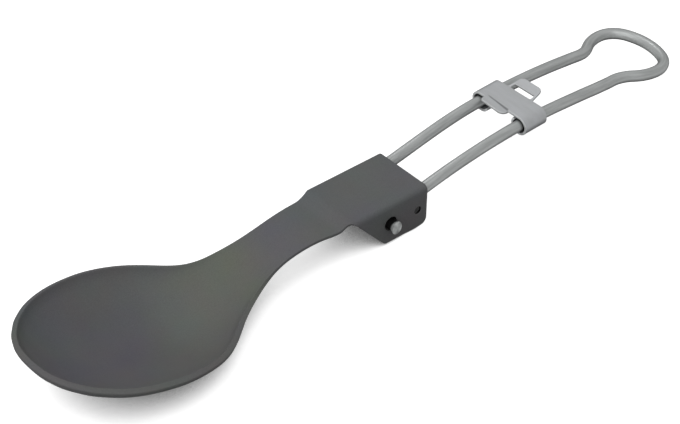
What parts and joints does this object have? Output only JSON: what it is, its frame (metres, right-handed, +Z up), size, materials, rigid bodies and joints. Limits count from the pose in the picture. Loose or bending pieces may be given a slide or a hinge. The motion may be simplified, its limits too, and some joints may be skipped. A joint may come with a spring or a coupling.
{
  "type": "folding spoon",
  "caption": "Folding camping spoon: pressed sheet head with a folded channel, bent wire handle that folds under the bowl, and a sheet lock that slides along the handle's legs",
  "frame": {"origin": "under the middle of the open spoon, at the level of the surface that the bowl and the flanges stand on", "axes": "+X runs from the bowl's tip to the handle's loop, +Z is up with the bowl's hollow upwards, and XZ is the plane of symmetry"},
  "size_m": [0.1634, 0.0392, 0.0148],
  "materials": {
    "head_titanium": "dark matte anodised and blasted titanium sheet",
    "handle_wire": "satin grey titanium wire",
    "lock_sheet": "satin grey titanium sheet with bright cut edges"
  },
  "bodies": {
    "head": {"spoon_head": "head_titanium"},
    "handle": {"wire_handle": "handle_wire"},
    "lock": {"slide_lock": "lock_sheet"}
  },
  "joints": [
    {"name": "handle_fold", "type": "hinge", "parent": "head", "child": "handle", "pos_m": [0.00012, 0, 0.0049], "axis": [0, 1, 0], "range_deg": [0, 174]},
    {"name": "lock_travel", "type": "hinge", "parent": "handle", "child": "lock", "pos_m": [0.03358, 0, -0.15164], "axis": [0, 1, 0], "range_deg": [-8.95, 7.25]}
  ]
}
